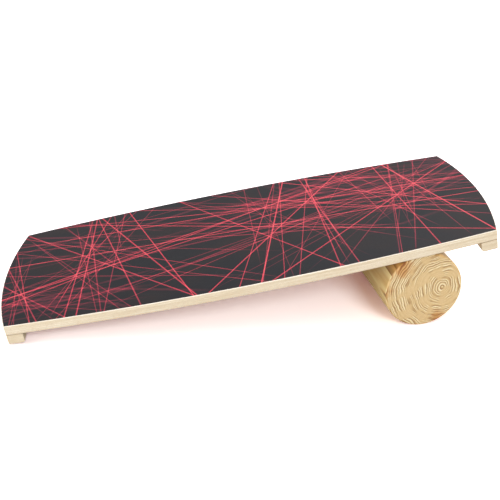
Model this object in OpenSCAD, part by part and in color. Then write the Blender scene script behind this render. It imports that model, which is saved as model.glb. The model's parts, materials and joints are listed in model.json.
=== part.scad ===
// Balance board: a bowed plywood deck with a stopper under each end, resting on a loose wooden roller.
// Rest pose: the left stopper stands on the floor and the deck leans on the roller.
// +X runs along the board, +Y across it and +Z up, with the origin on the floor below the middle.

/* [Deck] */
// Length of the board over its two bowed ends
deck_length = 740; // [700:5:800]
// Width of the board at the middle of its length
deck_width = 330; // [310:5:350]
// How far each long side bows out past the line between its corners
side_bow = 19; // [10:1:25]
// How far each end bows out past the line between its corners
end_bow = 18.5; // [15:0.5:25]
// Number of veneers in the plywood
ply_count = 11; // [9, 11, 13]
// Thickness of one veneer
ply_thickness = 1.35; // [1.3:0.05:1.5]
// Thickness of the printed film on the deck
film_thickness = 0.25; // [0.2:0.05:0.5]
// Width of the sanded arris around the deck's and the stoppers' faces
arris = 0.8; // [0.4:0.1:1.2]

/* [Stoppers] */
// Width of a stopper at the middle of the board's end
stopper_width = 42; // [40:1:60]
// Chamfer along a stopper's lower inner edge
stopper_chamfer = 3; // [1:0.5:4]

/* [Screws] */
// Number of screws that hold each stopper
screw_count = 4; // [2:1:4]
// Distance from one screw to the next
screw_spacing = 78; // [60:1:80]
// Distance from a stopper's inner face to its row of screws
screw_inset = 13; // [10:1:14]
// Length of a screw
screw_length = 25; // [20:1:26]
// Diameter of a screw's shank
screw_diameter = 3.5; // [3:0.5:4]
// Diameter of a screw's countersunk head
screw_head = 7; // [6:0.5:8]

/* [Roller] */
// Diameter of the roller
roller_diameter = 115; // [100:1:130]
// Length of the roller
roller_length = 300; // [250:5:310]
// Chamfer around each end of the roller
roller_chamfer = 2; // [1:0.5:4]
// Distance from the middle of the board to the line where it leans on the roller
roller_offset = 225; // [150:5:230]
// Angle in the deck's plane between the roller and the board's short axis
roller_skew = 6; // [0:0.5:8]

/* [Hidden] */
$fn = 96;
outline_fn = 1440;
roller_fn = 180;

// Gap between the roller and the deck's underside, so that the deck turns freely about the roller
roller_gap = 0.05;
// Gap between a screw and the wood around it
screw_gap = 0.03;
// How far a screw's head sits below the stopper's lower face
head_recess = 0.4;
// Straight edge of the screw head before its cone starts
head_lip = 0.3;
// Length of a screw's pointed tip
tip_length = 4;
// Width, span and depth of the cross recess in a screw's head
recess_width = 0.9;
recess_span = 4;
recess_depth = 1.5;
// Cutters run this far past the faces that they cut
overrun = 1;

roller_radius = roller_diameter / 2;
ply_stack = ply_count * ply_thickness;
deck_top = ply_stack + film_thickness;
corner_x = deck_length / 2 - end_bow;
corner_y = deck_width / 2 - side_bow;
stopper_inner = deck_length / 2 - stopper_width;

// Radius of the circle through both ends of a chord that bows out by the given height
function bow_radius(half_chord, bow) = (half_chord * half_chord + bow * bow) / (2 * bow);
side_radius = bow_radius(corner_x, side_bow);
end_radius = bow_radius(corner_y, end_bow);

// Reach of one end's foot from the roller's line, measured square to the roller.
// Side is -1 for the left end and 1 for the right end.
function reach(side) =
    (deck_length / 2 - end_radius - side * roller_offset) * cos(roller_skew)
    + end_radius - arris;

// Slope of the deck when the lower edge of that end's stopper meets the floor
drop = roller_radius + roller_gap - ply_stack;
function floor_angle(side) =
    atan(drop / reach(side)) + asin(roller_radius / norm([reach(side), drop]));
tilt = floor_angle(-1);

// Turn of the roller about +Z at which the board heads straight along +X
heading = atan(tan(roller_skew) / cos(tilt));

// Directions of the board's own axes in the rest pose
slope_axis = [cos(tilt) * cos(heading), cos(tilt) * sin(heading), sin(tilt)];
roller_axis = [-sin(heading), cos(heading), 0];
length_axis = cos(roller_skew) * slope_axis - sin(roller_skew) * roller_axis;
up_axis = [-sin(tilt) * cos(heading), -sin(tilt) * sin(heading), cos(tilt)];

// Middle of the deck's underside with the roller's middle at x = y = 0
board_middle = (roller_radius + roller_gap) * up_axis - roller_offset * length_axis;

// Middle of the roller, placed so that the whole object is centred over the origin
centre_x = board_middle.x;
centre_y = board_middle.y + ply_stack * up_axis.y / 2;
roller_middle = [-centre_x, -centre_y, roller_radius];

function ply_names(piece) = [for (i = [1 : ply_count]) str(piece, "_ply_", i)];

// Moves a piece from the board's own frame to the rest pose.
// In the board's frame the deck's underside is at z = 0 with its middle at the origin.
module place_board() {
    translate(roller_middle)
        rotate([0, -tilt, heading])
            rotate([0, 0, -roller_skew])
                translate([-roller_offset, 0, roller_radius + roller_gap])
                    children();
}

// Edge of one veneer, counted from the top, as points that give its inset and its height.
// The outermost veneers carry the arrises.
function veneer_rim(index) =
    let (bottom = ply_stack - index * ply_thickness, top = bottom + ply_thickness)
    concat(
        index == ply_count ? [[arris, bottom], [0, bottom + arris]] : [[0, bottom]],
        index == 1 ? [[0, top - arris], [arris, top]] : [[0, top]]
    );

// Disc whose rim gives the board one bowed edge, at the given distance from the middle
module bowed_disc(turn, distance, radius, rim) {
    rotate([0, 0, turn])
        translate([distance - radius, 0, 0])
            rotate_extrude($fn = outline_fn)
                polygon([
                    [0, rim[0].y],
                    for (point = rim) [radius - point.x, point.y],
                    [0, rim[len(rim) - 1].y]
                ]);
}

// Sheet in the board's plan: four bowed edges that meet at four corners
module board_sheet(rim) {
    intersection() {
        bowed_disc(0, deck_length / 2, end_radius, rim);
        bowed_disc(180, deck_length / 2, end_radius, rim);
        bowed_disc(90, deck_width / 2, side_radius, rim);
        bowed_disc(-90, deck_width / 2, side_radius, rim);
    }
}

// Block that keeps one end of the board's plan, cut off straight, as deep as a stopper
module stopper_block(side) {
    translate([side * deck_length / 2, 0, -ply_stack / 2])
        cube([2 * stopper_width, deck_width, ply_stack + 2 * overrun], center = true);
}

// One countersunk screw standing on its head, or with gap set, the hole that it leaves
module screw_form(gap) {
    shank = screw_diameter / 2;
    head = screw_head / 2;
    cone_end = head_lip + head - shank;
    foot = gap > 0 ? -head_recess - overrun : 0;
    rotate_extrude()
        polygon([
            [0, foot],
            [head + gap, foot],
            [head + gap, head_lip],
            [shank + gap, cone_end],
            [shank + gap, screw_length - tip_length],
            [0, screw_length + gap]
        ]);
}

module cross_recess() {
    for (turn = [0, 90])
        rotate([0, 0, turn])
            cube([recess_span, recess_width, 2 * recess_depth], center = true);
}

// Puts its children at each screw's place in one stopper
module at_screws(side) {
    first = -(screw_count - 1) / 2;
    for (i = [0 : screw_count - 1])
        translate([
            side * (stopper_inner + screw_inset),
            (first + i) * screw_spacing,
            head_recess - ply_stack
        ])
            children();
}

module screw_holes(side) {
    at_screws(side) screw_form(screw_gap);
}

// Wedge that eases a stopper's lower inner edge
module chamfer_cut(side) {
    translate([side * stopper_inner, 0, -ply_stack])
        rotate([0, 45, 0])
            cube([stopper_chamfer * sqrt(2), deck_width, stopper_chamfer * sqrt(2)], center = true);
}

// Veneers with their grain along the board are paler on its long edge than the cross veneers
function ply_colour(index) = index % 2 == 1 ? [0.90, 0.84, 0.72] : [0.84, 0.76, 0.62];

module print_film() {
    color([0.20, 0.17, 0.18])
        place_board()
            board_sheet([[arris, ply_stack], [arris, deck_top]]);
}

// One veneer of the deck, counted from the top
module deck_ply(index) {
    color(ply_colour(index))
        place_board()
            difference() {
                board_sheet(veneer_rim(index));
                screw_holes(-1);
                screw_holes(1);
            }
}

// One veneer of a stopper, counted from the deck down
module stopper_ply(side, index) {
    color(ply_colour(index))
        place_board()
            difference() {
                intersection() {
                    translate([0, 0, -ply_stack])
                        board_sheet(veneer_rim(index));
                    stopper_block(side);
                }
                screw_holes(side);
                chamfer_cut(side);
            }
}

module stopper_screws(side) {
    color([0.80, 0.70, 0.42])
        place_board()
            at_screws(side)
                difference() {
                    screw_form(0);
                    cross_recess();
                }
}

// Solid wooden roller with both rims chamfered
module roller() {
    half = roller_length / 2;
    rim = roller_radius - roller_chamfer;
    color([0.83, 0.69, 0.45])
        translate(roller_middle)
            rotate([-90, 0, heading])
                rotate_extrude($fn = roller_fn)
                    polygon([
                        [0, -half],
                        [rim, -half],
                        [roller_radius, roller_chamfer - half],
                        [roller_radius, half - roller_chamfer],
                        [rim, half],
                        [0, half]
                    ]);
}

roller();
print_film();
for (i = [1 : ply_count]) {
    deck_ply(i);
    stopper_ply(-1, i);
    stopper_ply(1, i);
}
stopper_screws(-1);  // left_stopper_screws
stopper_screws(1);  // right_stopper_screws
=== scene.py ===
"""Looks, lights and camera for a balance board on its loose roller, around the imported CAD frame.

Everything is in metres in the row frame. The two place matrices below give the deck's and the
roller's own frames, and the materials and the print are laid out in those, in millimetres.
"""
import json
import math
import random

import bmesh
import bpy
import numpy as np
from mathutils import Matrix, Vector


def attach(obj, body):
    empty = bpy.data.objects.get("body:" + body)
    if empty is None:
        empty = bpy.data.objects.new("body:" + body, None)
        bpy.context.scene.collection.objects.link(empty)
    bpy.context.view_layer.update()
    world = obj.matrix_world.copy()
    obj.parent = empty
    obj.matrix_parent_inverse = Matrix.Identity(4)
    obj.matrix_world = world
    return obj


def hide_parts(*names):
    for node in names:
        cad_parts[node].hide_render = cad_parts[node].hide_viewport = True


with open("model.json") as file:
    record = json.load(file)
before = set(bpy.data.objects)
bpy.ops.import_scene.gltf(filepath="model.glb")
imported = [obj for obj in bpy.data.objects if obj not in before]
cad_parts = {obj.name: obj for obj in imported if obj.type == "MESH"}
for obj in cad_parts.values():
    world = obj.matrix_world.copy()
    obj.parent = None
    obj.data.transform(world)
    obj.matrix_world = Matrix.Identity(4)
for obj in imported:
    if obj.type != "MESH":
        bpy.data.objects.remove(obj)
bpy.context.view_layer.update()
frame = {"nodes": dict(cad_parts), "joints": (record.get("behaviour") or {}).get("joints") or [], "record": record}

MM = 0.001
PLY_COUNT = 11
# Width of the sanded arris around the deck's and the stoppers' faces, in millimetres
ARRIS = 0.8


def place_matrix(x_axis, y_axis, z_axis, origin):
    """Matrix from a frame's own coordinates to the row frame."""
    turn = Matrix((x_axis, y_axis, z_axis)).transposed()
    return Matrix.Translation(origin) @ turn.to_4x4()


def board_place():
    """Frame of the deck: x along it, y across it and z up, from the middle of its printed face."""
    top = next(m for m in frame["record"]["mounts"] if m["name"] == "standing_surface")
    up = Vector(top["axis"])
    along = Vector((up.z, 0, -up.x)).normalized()
    return place_matrix(along, up.cross(along), up, Vector(top["pos_m"]))


def roller_place():
    """Frame of the roller: y along its axis and z up, from its middle."""
    hinge = frame["joints"][0]
    axis = Vector(hinge["axis"])
    up = Vector((0, 0, 1))
    return place_matrix(axis.cross(up), axis, up, Vector(hinge["pos_m"]))


BOARD = board_place()
ROLLER = roller_place()


def local_points(node, place):
    """Vertices of a CAD node in the given frame, in millimetres."""
    inverse = place.inverted()
    return [inverse @ vertex.co / MM for vertex in frame["nodes"][node].data.vertices]


def heights(node):
    """Lowest and highest point of a CAD node, measured square to the deck."""
    values = [point.z for point in local_points(node, BOARD)]
    return min(values), max(values)


# Heights in the deck's frame, and the thickness of one veneer, in millimetres
FILM_BOTTOM = heights("print_film")[0]
UNDERSIDE = heights(f"deck_ply_{PLY_COUNT}")[0]
PLY_THICKNESS = (FILM_BOTTOM - UNDERSIDE) / PLY_COUNT
FOOT_HEIGHT = heights(f"left_stopper_ply_{PLY_COUNT}")[0]


# ---------------------------------------------------------------- node trees

def tint(red, green, blue):
    """Linear colour from screen values of 0 to 255."""
    def linear(value):
        share = value / 255
        return share / 12.92 if share <= 0.04045 else ((share + 0.055) / 1.055) ** 2.4
    return linear(red), linear(green), linear(blue), 1.0


class Look:
    """One material's node tree. Each method adds a node or two and returns the socket to use."""

    def __init__(self, name, place):
        self.material = bpy.data.materials.new(name)
        self.material.use_nodes = True
        self.tree = self.material.node_tree
        self.tree.nodes.clear()
        self.coordinates = self.add("TexCoord", {})
        mapped = {
            "Vector": self.coordinates.outputs["Object"],
            "Location": place.to_translation(),
            "Rotation": place.to_euler(),
            "Scale": (MM, MM, MM),
        }
        self.point = self.add("Mapping", mapped, vector_type="TEXTURE").outputs[0]

    def add(self, kind, inputs, **settings):
        node = self.tree.nodes.new("ShaderNode" + kind)
        for name, value in settings.items():
            setattr(node, name, value)
        for name, value in inputs.items():
            socket = node.inputs[name]
            if isinstance(value, bpy.types.NodeSocket):
                self.tree.links.new(value, socket)
            else:
                socket.default_value = value
        return node

    def math(self, operation, a, b=0.0, c=0.0):
        return self.add("Math", {0: a, 1: b, 2: c}, operation=operation).outputs[0]

    def vector(self, operation, a, b=(0, 0, 0)):
        node = self.add("VectorMath", {0: a, 1: b}, operation=operation)
        single = operation in ("DOT_PRODUCT", "LENGTH", "DISTANCE")
        return node.outputs[1 if single else 0]

    def parts(self, vector):
        return self.add("SeparateXYZ", {0: vector}).outputs

    def join(self, x, y, z):
        return self.add("CombineXYZ", {0: x, 1: y, 2: z}).outputs[0]

    def noise(self, point, size, detail=2.0, roughness=0.5, distortion=0.0):
        """Noise about 0.5, with features of the given size in millimetres along x, y and z."""
        inputs = {
            "Vector": self.vector("DIVIDE", point, size),
            "Scale": 1.0,
            "Detail": detail,
            "Roughness": roughness,
            "Distortion": distortion,
        }
        return self.add("TexNoise", inputs).outputs[0]

    def levels(self, value, low, high, to_low=0.0, to_high=1.0):
        """Smooth step from one value to another as the input goes from low to high."""
        inputs = {0: value, 1: low, 2: high, 3: to_low, 4: to_high}
        return self.add("MapRange", inputs, interpolation_type="SMOOTHSTEP").outputs[0]

    def mix(self, share, a, b, blend="MIX"):
        inputs = {0: share, 6: a, 7: b}
        node = self.add("Mix", inputs, data_type="RGBA", blend_type=blend, clamp_factor=True)
        return node.outputs[2]

    def ramp(self, value, stops):
        """Colour from a list of (position, colour) stops."""
        node = self.add("ValToRGB", {0: value})
        elements = node.color_ramp.elements
        while len(elements) < len(stops):
            elements.new(1.0)
        for element, (position, colour) in zip(elements, stops):
            element.position = position
            element.color = colour
        return node.outputs[0]

    def facing(self, direction):
        """How far the surface faces a direction of the row frame or its opposite, from 0 to 1."""
        normal = self.coordinates.outputs["Normal"]
        return self.math("ABSOLUTE", self.vector("DOT_PRODUCT", normal, direction))

    def total(self, *terms):
        """Sum of (weight, value) terms."""
        result = 0.0
        for weight, value in terms:
            result = self.math("MULTIPLY_ADD", value, weight, result)
        return result

    def surface(self, colour, roughness, height, **inputs):
        """Principled surface with a bump whose height is in millimetres."""
        bump = self.add("Bump", {"Height": height, "Distance": MM, "Strength": 1.0})
        shader = self.add("BsdfPrincipled", {
            "Base Color": colour,
            "Roughness": roughness,
            "Normal": bump.outputs[0],
        })
        for name, value in inputs.items():
            shader.inputs[name.replace("_", " ")].default_value = value
        self.add("OutputMaterial", {"Surface": shader.outputs[0]})
        return self.material


# ---------------------------------------------------------------- birch plywood

BIRCH_PALE = tint(235, 224, 204)
BIRCH_TAN = tint(224, 208, 180)
BIRCH_FLECK = tint(176, 142, 102)
BIRCH_END = tint(222, 206, 178)
BIRCH_DARK = tint(204, 184, 150)
# Painted highlight for the deck's top arris
BIRCH_HIGHLIGHT = tint(248, 242, 230)
# Colour of the glue lines, and of the painted shade along the deck's lower arris
GLUE_AND_SHADE = tint(142, 118, 92)
SCUFF = tint(168, 150, 124)
# Step in the wood's pattern from one veneer to the next, in millimetres
VENEER_STEP = (37.0, 11.3, 5.7)
# How far the end grain, the glue lines, the painted shade along the deck's lower arris, the
# painted highlight on the top arris and the stoppers' darker tone show
END_GRAIN_SHARE = 0.6
GLUE_SHARE = 0.38
SEAM_SHADE_SHARE = 0.75
HIGHLIGHT_SHARE = 0.8
STOPPER_SHARE = 0.35
# How far the wear reaches up from the stoppers' feet, in millimetres
SCUFF_HEIGHT = 3


def birch(name, fibre_axis):
    """Birch veneer whose fibres run along the deck's x axis (0) or its y axis (1)."""
    look = Look(name, BOARD)
    x, y, z = look.parts(look.point)
    along, across = (x, y) if fibre_axis == 0 else (y, x)
    index = look.add("ObjectInfo", {}).outputs["Object Index"]
    shift = look.vector("MULTIPLY", look.join(index, index, index), VENEER_STEP)
    wood = look.vector("ADD", look.join(along, across, z), shift)

    figure = look.noise(wood, (160, 6, 30), detail=4, roughness=0.6, distortion=0.8)
    flame = look.noise(wood, (420, 34, 60), detail=1)
    fibre = look.noise(wood, (22, 0.4, 0.4), detail=2, roughness=0.6)
    fleck = look.noise(wood, (5, 0.45, 0.45), detail=1)
    level = look.facing(BOARD.col[2].xyz)
    side = look.levels(level, 0.75, 0.45)
    end = look.levels(look.facing(BOARD.col[fibre_axis].xyz), 0.45, 0.9)

    colour = look.mix(look.levels(figure, 0.38, 0.64), BIRCH_PALE, BIRCH_TAN)
    colour = look.mix(look.levels(flame, 0.5, 0.7, 0, 0.5), colour, BIRCH_DARK)
    colour = look.mix(look.levels(fibre, 0.35, 0.7, 0, 0.35), colour, BIRCH_TAN, "MULTIPLY")
    colour = look.mix(look.levels(fleck, 0.62, 0.72, 0, 0.5), colour, BIRCH_FLECK)

    veneer = look.noise(look.join(index, index, index), (1.7, 1.7, 1.7), detail=0)
    colour = look.mix(look.levels(veneer, 0.5, 0.72, 0, 0.55), colour, BIRCH_DARK)

    pores = look.noise(wood, (6, 0.5, 0.35), detail=2, roughness=0.7)
    end_colour = look.mix(look.levels(pores, 0.42, 0.66, 0, 0.4), BIRCH_END, BIRCH_FLECK)
    colour = look.mix(look.math("MULTIPLY", end, END_GRAIN_SHARE), colour, end_colour)

    layer = look.math("DIVIDE", look.math("SUBTRACT", FILM_BOTTOM, z), PLY_THICKNESS)
    in_layer = look.math("FRACT", layer)
    to_glue = look.math("MINIMUM", in_layer, look.math("SUBTRACT", 1.0, in_layer))
    ragged = look.noise(look.point, (3, 3, 0.6), detail=2)
    line = look.levels(look.total((1.0, to_glue), (0.12, ragged)), 0.16, 0.08)
    glue = look.math("MULTIPLY", line, side)
    colour = look.mix(look.math("MULTIPLY", glue, GLUE_SHARE), colour, GLUE_AND_SHADE)

    stopper = look.levels(z, UNDERSIDE + 0.1, UNDERSIDE - 0.1, 0, STOPPER_SHARE)
    colour = look.mix(stopper, colour, BIRCH_DARK)
    # Painted shade along the deck's lower arris, at its sides and where the stoppers meet it
    to_seam = look.math("ABSOLUTE", look.math("SUBTRACT", z, UNDERSIDE))
    edge = look.levels(level, 0.95, 0.8)
    seam_shade = look.math("MULTIPLY", look.levels(to_seam, ARRIS, 0.4 * ARRIS), edge)
    colour = look.mix(look.math("MULTIPLY", seam_shade, SEAM_SHADE_SHARE), colour, GLUE_AND_SHADE)
    # Painted highlight along the top arris of the deck
    arris_highlight = look.levels(z, FILM_BOTTOM - ARRIS, FILM_BOTTOM - 0.6 * ARRIS)
    colour = look.mix(look.math("MULTIPLY", arris_highlight, HIGHLIGHT_SHARE), colour, BIRCH_HIGHLIGHT)

    rubbed = look.noise(look.point, (3, 34, 8), detail=4, roughness=0.6)
    low = look.levels(z, FOOT_HEIGHT + SCUFF_HEIGHT, FOOT_HEIGHT)
    scuff = look.math("MULTIPLY", low, look.levels(rubbed, 0.42, 0.74, 0, 0.55))
    colour = look.mix(scuff, colour, SCUFF)

    patch = look.noise(look.point, (60, 60, 60), detail=2)
    roughness = look.total((0.16, patch), (0.14, end), (0.12, scuff), (1.0, 0.36))
    height = look.total(
        (0.05, fibre), (0.02, figure), (0.06, look.math("MULTIPLY", pores, end)),
        (-0.05, glue), (-0.04, scuff),
    )
    return look.surface(colour, roughness, height, Coat_Weight=0.12, Coat_Roughness=0.35)


# ---------------------------------------------------------------- turned pine

# The log's pith beside the roller's axis, its drift for each millimetre along it, and the
# width of one year's growth, in millimetres
PITH = (29.0, 0.0, 2.0)
PITH_LEAN = (0.012, 0.0, -0.008)
RING_STEP = 3.7
PINE_EARLY = tint(252, 242, 202)
PINE_MID = tint(225, 196, 144)
PINE_WARM = tint(219, 188, 130)
PINE_LATE = tint(150, 106, 60)
PINE_RESIN = tint(226, 176, 108)
PINE_KNOT = tint(104, 58, 28)
PINE_SIDE = tint(255, 243, 210)
PINE_END = tint(241, 240, 240)
# Resin streaks that run along the log: place across and up from its axis, and radius
RESIN_STREAKS = ((-34, 38, 12), (24, -46, 9), (-52, 4, 4))
# Knots of the log: place along the axis, heading about it in degrees and radius
PINE_KNOTS = ((-62, 205, 6.0), (48, 100, 7.5), (96, 318, 5.0))
# Lean of each knot's branch along the log
BRANCH_LEAN = 0.12
# How far the pale early wood, the dark late wood, the knots, the rays and the cells show
EARLY_SHARE = 0.9
LATE_SHARE = 0.9
KNOT_SHARE = 0.85
RAY_SHARE = 0.4
CELL_SHARE = 0.22
# How fast the lathe's marks wave along the roller, in radians per millimetre
TURNING_RATE = 9.0


def knot(look, from_pith, along, heading):
    """Distance from a branch's centre line, and a share that rises as it leaves the pith."""
    angle = math.radians(heading)
    branch = Vector((math.cos(angle), BRANCH_LEAN, math.sin(angle))).normalized()
    point = look.vector("SUBTRACT", from_pith, (0, along, 0))
    reach = look.vector("DOT_PRODUCT", point, branch)
    foot = look.vector("MULTIPLY", look.join(reach, reach, reach), branch)
    away = look.vector("DISTANCE", point, foot)
    outward = look.levels(reach, 2, 10)
    return away, outward


def turned_pine():
    """Solid pine with its growth rings about a pith off the roller's centre."""
    look = Look("turned_pine_oiled", ROLLER)
    y = look.parts(look.point)[1]
    lean = look.vector("MULTIPLY", look.join(y, y, y), PITH_LEAN)
    from_pith = look.vector("SUBTRACT", look.vector("SUBTRACT", look.point, PITH), lean)
    flat = look.vector("MULTIPLY", from_pith, (1, 0, 1))
    radius = look.vector("LENGTH", flat)
    wander = look.noise(look.point, (30, 420, 30), detail=2)
    ripple = look.noise(look.point, (9, 150, 9), detail=2)
    radius = look.total((1.0, radius), (16.0, wander), (1.8, ripple))

    heart = 0.0
    for along, heading, size in PINE_KNOTS:
        away, outward = knot(look, from_pith, along, heading)
        swell = look.math("MULTIPLY", look.levels(away, size * 4.5, 0), outward)
        radius = look.total((1.0, radius), (size * 1.6, swell))
        core = look.math("MULTIPLY", look.levels(away, size * 1.1, size * 0.8), outward)
        heart = look.math("MAXIMUM", heart, core)

    slow = {"W": radius, "Scale": 0.13, "Detail": 1.0}
    uneven = look.add("TexNoise", slow, noise_dimensions="1D")
    phase = look.total((1 / RING_STEP, radius), (2.2, uneven.outputs[0]))
    ring = look.math("FRACT", phase)
    patch = look.noise(look.point, (17, 320, 17), detail=1)
    strength = look.levels(patch, 0.4, 0.56, 0.1, 1)
    late = look.math("MULTIPLY", look.levels(ring, 0.5, 0.94), look.levels(ring, 1.0, 0.96))
    late = look.math("MULTIPLY", late, strength)
    early = look.math("MULTIPLY", look.levels(ring, 0.0, 0.06), look.levels(ring, 0.7, 0.1))
    early = look.math("MULTIPLY", early, strength)

    colour = look.mix(look.levels(patch, 0.3, 0.6), PINE_MID, PINE_WARM)
    colour = look.mix(look.math("MULTIPLY", early, EARLY_SHARE), colour, PINE_EARLY)
    colour = look.mix(look.math("MULTIPLY", late, LATE_SHARE), colour, PINE_LATE)
    resin = look.noise(look.point, (14, 160, 14), detail=3, roughness=0.6)
    for x, z, size in RESIN_STREAKS:
        away = look.vector("DISTANCE", look.vector("MULTIPLY", look.point, (1, 0, 1)), (x, 0, z))
        share = look.levels(look.total((1.0, away), (24.0, resin)), size + 20, size + 5, 0, 0.8)
        colour = look.mix(share, colour, PINE_RESIN, "MULTIPLY")

    fibre = look.noise(look.point, (0.6, 26, 0.6), detail=3, roughness=0.65)
    colour = look.mix(look.levels(fibre, 0.4, 0.72, 0, 0.22), colour, PINE_RESIN, "MULTIPLY")
    colour = look.mix(look.math("MULTIPLY", heart, KNOT_SHARE), colour, PINE_KNOT)

    end = look.levels(look.facing(ROLLER.col[1].xyz), 0.5, 0.9)
    ends = look.parts(flat)
    angle = look.math("ARCTAN2", ends[0], ends[2])
    ray_point = look.join(look.math("MULTIPLY", angle, 60.0), look.math("DIVIDE", radius, 14.0), y)
    ray = look.noise(ray_point, (1, 1, 4), detail=2)
    rays = look.math("MULTIPLY", look.levels(ray, 0.55, 0.72, 0, 0.5), end)
    colour = look.mix(look.math("MULTIPLY", rays, RAY_SHARE), colour, PINE_LATE)
    colour = look.mix(1.0, colour, look.mix(end, PINE_SIDE, PINE_END), "MULTIPLY")

    cells = look.noise(look.point, (0.45, 0.45, 0.45), detail=2, roughness=0.7)
    cells = look.math("MULTIPLY", look.levels(cells, 0.42, 0.7), end)
    colour = look.mix(look.math("MULTIPLY", cells, CELL_SHARE), colour, PINE_LATE)

    dent = look.noise(look.point, (9, 9, 9), detail=3, roughness=0.6)
    dents = look.levels(dent, 0.66, 0.8)
    turning = look.math("SINE", look.math("MULTIPLY", y, TURNING_RATE))
    turning = look.math("MULTIPLY", turning, look.math("SUBTRACT", 1.0, end))
    roughness = look.total((0.12, resin), (0.12, end), (-0.08, late), (1.0, 0.42))
    height = look.total(
        (0.012, late), (0.03, fibre), (0.004, turning), (-0.2, dents), (-0.02, cells),
    )
    return look.surface(colour, roughness, height, Coat_Weight=0.2, Coat_Roughness=0.3)


# ---------------------------------------------------------------- printed film

CHARCOAL = tint(30, 30, 35)
CHARCOAL_WARM = tint(39, 33, 35)
INK_STOPS = (
    (0.0, CHARCOAL),
    (0.14, tint(88, 40, 51)),
    (0.38, tint(150, 51, 67)),
    (0.68, tint(208, 65, 82)),
    (1.0, tint(240, 94, 104)),
)
FILM_SCRATCH = tint(128, 122, 120)
FILM_WORN = tint(150, 132, 112)
INK = "ink"
# The film is first split into square tiles of this size, this many to each side of the middle
FILM_TILE = 50
FILM_TILES = 7
# Vertices closer to a cut than this stay on it, in millimetres
CUT_SNAP = 0.002
# Vertices closer than this in millimetres are joined, and so are faces that turn less than
# this in degrees
JOIN_DISTANCE = 0.001
FLAT_ANGLE = 0.05

# Knots that the print's strokes run through, in millimetres from the deck's middle
PRINT_KNOTS = {
    "a": (-238, 60), "b": (-242, -28), "c": (-204, -24), "d": (-345, -62), "e": (-90, -137),
    "f": (-205, 112), "g": (40, 74), "h": (50, 0), "i": (40, -30), "j": (125, 68),
    "k": (125, 2), "l": (252, 27), "m": (287, 57), "n": (202, 122),
}
# Points near the rim that some of the bold strokes run through
PRINT_RIM = {
    "o": (-170, 130), "p": (-345, 136), "q": (-75, 138), "s": (350, -140), "t": (85, 155),
    "u": (-365, 34), "x": (365, -62), "y": (240, 155), "z": (180, 155),
}
# Each bold stroke by the two points that it runs through
BOLD_STROKES = "ab pc fe oe qi jk th yl ms ml dg dc gx uk hs zi cg gl jm lx"
# The least and the most of a bold stroke's width and strength, and its reach from its
# middle, which runs past every rim
BOLD_WIDTH = (1.6, 2.4)
BOLD_STRENGTH = (0.5, 0.8)
BOLD_REACH = 700
# Strokes that scatter about the knots: knots, how many at each, then the least and the most
# of their width in millimetres, of their strength and of their reach in millimetres
SCATTERED_STROKES = (
    ("abcdfghijklmn", 4, (1.0, 1.8), (0.26, 0.55), (160, 420)),
    ("abdddfgghjkllmmnn", 4, (0.8, 1.6), (0.14, 0.34), (80, 280)),
)
# How far their middles stray from the knots, and the share of them that is steep
KNOT_SPREAD = 9
STEEP_SHARE = 0.4
# Middle and spread of the headings across the deck, in degrees
STEEP_HEADING = (96, 24)
LEVEL_HEADING = (-6, 24)
HAZE_HEADING = (-4, 22)
# Patches of wide, faint and nearly level strokes: middle, spread along and across, and how many
HAZE = (
    ((190, 112), (140, 30), 20),
    ((290, 40), (50, 40), 9),
    ((-300, -95), (60, 36), 14),
    ((-240, 40), (60, 60), 8),
    ((30, 50), (60, 40), 6),
)
# The least and the most of their width, strength and reach
HAZE_WIDTH = (2.5, 7.0)
HAZE_STRENGTH = (0.07, 0.17)
HAZE_REACH = (60, 190)
# Share of a stroke's reach over which it fades out
FADE_SHARE = 0.4
PRINT_SEED = 7


def cut_across(bm, faces, normal, points):
    """Splits the faces along lines that are square to the normal, one through each point."""
    geometry = list(faces)
    geometry += {edge for face in faces for edge in face.edges}
    geometry += {vert for face in faces for vert in face.verts}
    for point in points:
        result = bmesh.ops.bisect_plane(
            bm, geom=geometry, dist=CUT_SNAP,
            plane_co=(point[0], point[1], 0), plane_no=(normal[0], normal[1], 0),
        )
        geometry = result["geom"]


class Stroke:
    """Straight stroke of the print, faded at both of its ends."""

    def __init__(self, middle, direction, width, strength, reach):
        self.middle = Vector(middle)
        self.direction = Vector(direction).normalized()
        self.normal = Vector((-self.direction.y, self.direction.x))
        self.width = width
        self.strength = strength
        self.reach = reach

    def edges(self):
        """A point on each of its two long edges."""
        offset = self.normal * self.width / 2
        return self.middle + offset, self.middle - offset

    def run(self, points):
        """How far each point lies from the middle, measured along the stroke."""
        return np.abs((points - np.array(self.middle)) @ np.array(self.direction))

    def gap(self, points):
        """How far each point lies from the stroke's centre line."""
        return np.abs((points - np.array(self.middle)) @ np.array(self.normal))

    def covers(self, points):
        """Which of the points lie on the stroke."""
        return (self.gap(points) < self.width / 2) & (self.run(points) < self.reach)

    def cut(self, bm):
        """Splits the faces about the stroke along both of its edges."""
        centres = np.array([face.calc_center_median()[:2] for face in bm.faces])
        close = (self.gap(centres) < FILM_TILE) & (self.run(centres) < self.reach + FILM_TILE)
        bm.faces.ensure_lookup_table()
        cut_across(bm, [bm.faces[i] for i in np.flatnonzero(close)], self.normal, self.edges())

    def ink(self, points):
        """How strongly the stroke inks each of the points that it covers."""
        fade = np.clip((self.reach - self.run(points)) / (FADE_SHARE * self.reach), 0, 1)
        return self.strength * fade * fade * (3 - 2 * fade)


def heading_vector(degrees):
    """Direction at an angle from the deck's x axis."""
    return math.cos(math.radians(degrees)), math.sin(math.radians(degrees))


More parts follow.
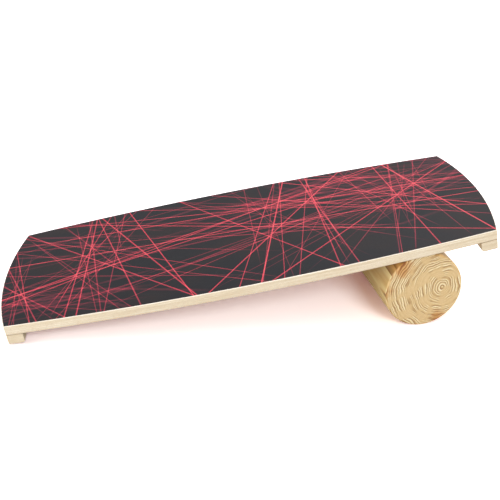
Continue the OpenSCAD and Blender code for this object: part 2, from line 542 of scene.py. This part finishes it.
def print_strokes():
    """Bold strokes through the knots, and thinner and fainter ones that scatter about them."""
    rng = random.Random(PRINT_SEED)
    places = {**PRINT_KNOTS, **PRINT_RIM}
    strokes = []
    for first, second in BOLD_STROKES.split():
        start, end = Vector(places[first]), Vector(places[second])
        width, strength = rng.uniform(*BOLD_WIDTH), rng.uniform(*BOLD_STRENGTH)
        strokes.append(Stroke((start + end) / 2, end - start, width, strength, BOLD_REACH))
    for names, count, widths, strengths, reaches in SCATTERED_STROKES:
        for name in names:
            for _ in range(count):
                middle = [value + rng.gauss(0, KNOT_SPREAD) for value in PRINT_KNOTS[name]]
                steep = rng.random() < STEEP_SHARE
                heading = rng.gauss(*(STEEP_HEADING if steep else LEVEL_HEADING))
                strokes.append(Stroke(
                    middle, heading_vector(heading), rng.uniform(*widths),
                    rng.uniform(*strengths), rng.uniform(*reaches),
                ))
    for middle, spread, count in HAZE:
        for _ in range(count):
            point = [rng.gauss(value, size) for value, size in zip(middle, spread)]
            strokes.append(Stroke(
                point, heading_vector(rng.gauss(*HAZE_HEADING)), rng.uniform(*HAZE_WIDTH),
                rng.uniform(*HAZE_STRENGTH), rng.uniform(*HAZE_REACH),
            ))
    return strokes


def film_outline():
    """Corners of the film's top face in the deck's frame, in order around it."""
    node = frame["nodes"]["print_film"]
    mesh = bpy.data.meshes.new("outline")
    corners = [tuple(point) for point in local_points("print_film", BOARD)]
    mesh.from_pydata(corners, [], [tuple(face.vertices) for face in node.data.polygons])
    bm = bmesh.new()
    bm.from_mesh(mesh)
    bmesh.ops.remove_doubles(bm, verts=bm.verts, dist=JOIN_DISTANCE)
    flat = math.radians(FLAT_ANGLE)
    bmesh.ops.dissolve_limit(bm, angle_limit=flat, verts=bm.verts, edges=bm.edges)
    bm.normal_update()
    top = max(bm.faces, key=lambda face: face.calc_center_median().z)
    outline = [vert.co.copy() for vert in top.verts]
    bm.free()
    bpy.data.meshes.remove(mesh)
    return outline


def ink_faces(bm, strokes):
    """Writes each face corner's ink, summed over the strokes that cover its face."""
    ink = bm.loops.layers.float.new(INK)
    bm.faces.ensure_lookup_table()
    centres = np.array([face.calc_center_median()[:2] for face in bm.faces])
    covered = np.array([stroke.covers(centres) for stroke in strokes])
    for face, hits in zip(bm.faces, covered.T):
        corners = np.array([loop.vert.co[:2] for loop in face.loops])
        covering = (strokes[i].ink(corners) for i in np.flatnonzero(hits))
        amounts = sum(covering, np.zeros(len(corners)))
        for loop, amount in zip(face.loops, amounts):
            loop[ink] = float(amount)


def film_piece():
    """The film as a closed sheet, its top split along the edges of every stroke."""
    bm = bmesh.new()
    bm.faces.new([bm.verts.new(corner) for corner in film_outline()])
    for normal in ((1, 0), (0, 1)):
        steps = range(-FILM_TILES, FILM_TILES + 1)
        lines = [(step * FILM_TILE, step * FILM_TILE) for step in steps]
        cut_across(bm, bm.faces[:], normal, lines)
    strokes = print_strokes()
    for stroke in strokes:
        stroke.cut(bm)
    ink_faces(bm, strokes)
    rim = [edge for edge in bm.edges if edge.is_boundary]
    walls = bmesh.ops.extrude_edge_only(bm, edges=rim)["geom"]
    lower = [item for item in walls if isinstance(item, bmesh.types.BMVert)]
    bmesh.ops.translate(bm, verts=lower, vec=(0, 0, FILM_BOTTOM))
    bmesh.ops.holes_fill(bm, edges=[edge for edge in bm.edges if edge.is_boundary])
    bmesh.ops.recalc_face_normals(bm, faces=bm.faces)
    bmesh.ops.transform(bm, matrix=BOARD @ Matrix.Scale(MM, 4), verts=bm.verts)
    mesh = bpy.data.meshes.new("printed_film")
    bm.to_mesh(mesh)
    bm.free()
    piece = bpy.data.objects.new("printed_film", mesh)
    bpy.context.scene.collection.objects.link(piece)
    return piece


def bow_radius(half_chord, bow):
    """Radius of the circle through both ends of a chord that bows out by the given height."""
    return (half_chord ** 2 + bow ** 2) / (2 * bow)


def rim_distance(look):
    """Distance from the film's bowed rim, in millimetres."""
    outline = local_points("print_film", BOARD)
    corner = max(outline, key=lambda point: point.x + point.y)
    length = max(point.x for point in outline)
    width = max(point.y for point in outline)
    end_radius = bow_radius(corner.y, length - corner.x)
    side_radius = bow_radius(corner.x, width - corner.y)
    flat = look.vector("MULTIPLY", look.point, (1, 1, 0))
    nearest = None
    for centre, radius in (
        ((length - end_radius, 0, 0), end_radius),
        ((end_radius - length, 0, 0), end_radius),
        ((0, width - side_radius, 0), side_radius),
        ((0, side_radius - width, 0), side_radius),
    ):
        depth = look.math("SUBTRACT", radius, look.vector("DISTANCE", flat, centre))
        nearest = depth if nearest is None else look.math("MINIMUM", nearest, depth)
    return nearest


def scratches(look, heading, size, low, high):
    """Share of fine straight scratches that run at a heading across the deck."""
    turned = look.add("Mapping", {
        "Vector": look.point,
        "Rotation": (0, 0, math.radians(heading)),
    }).outputs[0]
    return look.levels(look.noise(turned, size, detail=1), low, high)


def printed_film():
    """Satin charcoal film with red ink, lightly scratched, and rubbed at its rim."""
    look = Look("charcoal_print", BOARD)
    ink = look.add("Attribute", {}, attribute_name=INK).outputs["Fac"]
    patchy = look.noise(look.point, (5, 5, 5), detail=3, roughness=0.6)
    ink = look.math("MULTIPLY", ink, look.levels(patchy, 0.3, 0.6, 0.86, 1.04))
    clouds = look.noise(look.point, (120, 90, 90), detail=3)
    grain = look.noise(look.point, (0.7, 0.7, 0.7), detail=2, roughness=0.7)

    colour = look.ramp(ink, INK_STOPS)
    warm = look.math("MULTIPLY", look.levels(clouds, 0.4, 0.65), look.levels(ink, 0.3, 0.0))
    colour = look.mix(warm, colour, CHARCOAL_WARM)
    marks = look.math(
        "MAXIMUM",
        scratches(look, 17, (60, 0.35, 1), 0.7, 0.76),
        scratches(look, -52, (45, 0.3, 1), 0.71, 0.77),
    )
    colour = look.mix(look.math("MULTIPLY", marks, 0.14), colour, FILM_SCRATCH)
    chips = look.noise(look.point, (6, 6, 6), detail=4)
    rim = look.total((1.0, rim_distance(look)), (-2.6, chips))
    worn = look.levels(rim, -0.7, -1.25)
    colour = look.mix(look.math("MULTIPLY", worn, 0.7), colour, FILM_WORN)

    roughness = look.total((0.16, clouds), (0.1, grain), (0.14, marks), (0.25, worn), (1.0, 0.24))
    height = look.total((0.012, grain), (0.006, look.levels(ink, 0.05, 0.3)), (-0.02, marks))
    return look.surface(colour, roughness, height, Specular_IOR_Level=0.25)


# ---------------------------------------------------------------- screws

ZINC_YELLOW = tint(206, 178, 112)
ZINC_PALE = tint(190, 170, 132)
ZINC_DULL = tint(120, 104, 78)


def zinc_screw():
    """Yellow zinc plating with a faint shift of colour and fine dull specks."""
    look = Look("yellow_zinc", BOARD)
    cloud = look.noise(look.point, (3, 3, 3), detail=3)
    fine = look.noise(look.point, (0.25, 0.25, 0.25), detail=2)
    colour = look.mix(look.levels(cloud, 0.38, 0.62), ZINC_YELLOW, ZINC_PALE)
    colour = look.mix(look.levels(fine, 0.6, 0.75, 0, 0.5), colour, ZINC_DULL)
    roughness = look.total((0.25, cloud), (0.15, fine), (1.0, 0.12))
    height = look.total((0.01, fine), (0.01, cloud))
    return look.surface(colour, roughness, height, Metallic=1.0)


# ---------------------------------------------------------------- materials on the pieces

def dress(node, material, index=0):
    """Gives a CAD node its material. The index sets where in the wood it was cut."""
    piece = frame["nodes"][node]
    piece.data.materials.clear()
    piece.data.materials.append(material)
    piece.pass_index = index


def dress_all():
    long_grain = birch("birch_long_grain", 0)
    cross_grain = birch("birch_cross_grain", 1)
    for stack, stack_name in enumerate(("deck", "left_stopper", "right_stopper")):
        for number in range(1, PLY_COUNT + 1):
            material = long_grain if number % 2 else cross_grain
            dress(f"{stack_name}_ply_{number}", material, stack * PLY_COUNT + number)
    dress("roller", turned_pine())
    zinc = zinc_screw()
    for side in ("left", "right"):
        dress(f"{side}_stopper_screws", zinc)

    film = film_piece()
    film.data.materials.append(printed_film())
    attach(film, "board")
    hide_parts("print_film")


# ---------------------------------------------------------------- studio

# Place in metres, angles below the horizon and right of +Y in degrees, and lens and sensor
# width in millimetres
CAMERA_PLACE = (-0.1113, -1.2381, 0.6656)
CAMERA_DIP = 25.90
CAMERA_HEADING = 5.634
CAMERA_LENS = 63.9
CAMERA_SENSOR = 36


def add_camera():
    data = bpy.data.cameras.new("camera")
    data.lens = CAMERA_LENS
    data.sensor_width = CAMERA_SENSOR
    camera = bpy.data.objects.new("camera", data)
    camera.location = CAMERA_PLACE
    camera.rotation_euler = (math.radians(90 - CAMERA_DIP), 0, math.radians(-CAMERA_HEADING))
    bpy.context.scene.collection.objects.link(camera)
    bpy.context.scene.camera = camera


def add_sun(name, azimuth, elevation, strength, softness):
    """Soft distant light. Azimuth 0 shines from +X and 90 from +Y."""
    data = bpy.data.lights.new(name, "SUN")
    data.energy = strength
    data.angle = math.radians(softness)
    light = bpy.data.objects.new(name, data)
    a, e = math.radians(azimuth), math.radians(elevation)
    towards = Vector((math.cos(a) * math.cos(e), math.sin(a) * math.cos(e), math.sin(e)))
    light.rotation_euler = towards.to_track_quat("Z", "Y").to_euler()
    bpy.context.scene.collection.objects.link(light)


# Distance from the floor's middle to each side, and its gap below the feet, in metres
FLOOR_REACH = 40
FLOOR_GAP = 0.0002
# The floor's colour for the light that it gives back, its colour as the camera sees it, and
# the faint glow that tints its shade
FLOOR_BOUNCE = (0.6, 0.6, 0.6, 1)
FLOOR_SEEN = (1.5, 1.5, 1.5, 1)
FLOOR_BLUSH = (0.12, 0.01, 0.03, 1)
NO_GLOW = (0, 0, 0, 1)
WORLD_LIGHT = 0.42
# Azimuth and elevation in degrees, strength, and softness in degrees
SUNS = {
    "key": (-78, 31, 1.8, 24),
    "fill": (-160, 20, 1.9, 50),
    "back": (65, 58, 0.8, 50),
    "right": (8, 16, 0.9, 40),
}


def seen_or_not(tree, unseen, seen):
    """Colour with one value for the camera's own rays and another for all other rays."""
    path = tree.nodes.new("ShaderNodeLightPath")
    mix = tree.nodes.new("ShaderNodeMix")
    mix.data_type = "RGBA"
    mix.inputs[6].default_value = unseen
    mix.inputs[7].default_value = seen
    tree.links.new(path.outputs["Is Camera Ray"], mix.inputs[0])
    return mix.outputs[2]


def add_floor():
    """Pale floor that looks white where it is fully lit and blushes in the shade."""
    mesh = bpy.data.meshes.new("floor")
    signs = ((-1, -1), (1, -1), (1, 1), (-1, 1))
    corners = [(x * FLOOR_REACH, y * FLOOR_REACH, 0) for x, y in signs]
    mesh.from_pydata(corners, [], [(0, 1, 2, 3)])
    floor = bpy.data.objects.new("floor", mesh)
    floor.location.z = -FLOOR_GAP
    material = bpy.data.materials.new("floor_paper")
    material.use_nodes = True
    tree = material.node_tree
    shader = tree.nodes["Principled BSDF"]
    tree.links.new(seen_or_not(tree, FLOOR_BOUNCE, FLOOR_SEEN), shader.inputs["Base Color"])
    tree.links.new(seen_or_not(tree, NO_GLOW, FLOOR_BLUSH), shader.inputs["Emission Color"])
    shader.inputs["Emission Strength"].default_value = 1.0
    shader.inputs["Roughness"].default_value = 0.9
    shader.inputs["Specular IOR Level"].default_value = 0.1
    mesh.materials.append(material)
    bpy.context.scene.collection.objects.link(floor)


def add_world(light):
    """Even fill from all round, which the camera sees as plain white."""
    world = bpy.data.worlds.new("studio")
    bpy.context.scene.world = world
    world.use_nodes = True
    tree = world.node_tree
    colour = seen_or_not(tree, (light, light, light, 1), (1, 1, 1, 1))
    tree.links.new(colour, tree.nodes["Background"].inputs["Color"])
    tree.nodes["Background"].inputs["Strength"].default_value = 1.0


dress_all()
add_camera()
add_floor()
add_world(WORLD_LIGHT)
for sun_name, sun in SUNS.items():
    add_sun(sun_name, *sun)
bpy.context.scene.view_settings.view_transform = "Standard"
